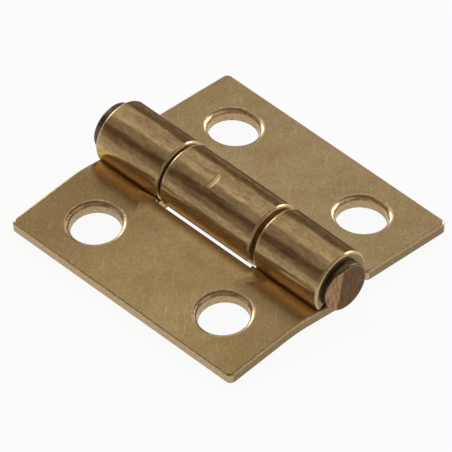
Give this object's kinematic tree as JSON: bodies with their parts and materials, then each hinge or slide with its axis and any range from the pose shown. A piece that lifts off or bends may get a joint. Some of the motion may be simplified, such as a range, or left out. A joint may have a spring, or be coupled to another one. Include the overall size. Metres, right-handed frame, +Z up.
{
  "type": "narrow butt hinge",
  "caption": "Small open butt hinge: flat stamped brass leaves with rolled-edge screw holes, curled knuckles and a headed pin that the leaves turn on.",
  "frame": {"origin": "on the surface that the open hinge lies on, below the middle of the pin", "axes": "+X along the pin, +Y towards the leaf with one knuckle, +Z up, out of the leaves' front faces"},
  "size_m": [0.0272, 0.0252, 0.0058],
  "materials": {
    "leaf_brass": "satin",
    "pin_metal": "satin"
  },
  "bodies": {
    "front_leaf": {"two_knuckle_leaf": "leaf_brass"},
    "rear_leaf": {"one_knuckle_leaf": "leaf_brass", "hinge_pin": "pin_metal"}
  },
  "joints": [
    {"name": "leaf_swing", "type": "hinge", "parent": "front_leaf", "child": "rear_leaf", "pos_m": [0, 0, 0.0029], "axis": [1, 0, 0], "range_deg": [-90, 195]}
  ]
}
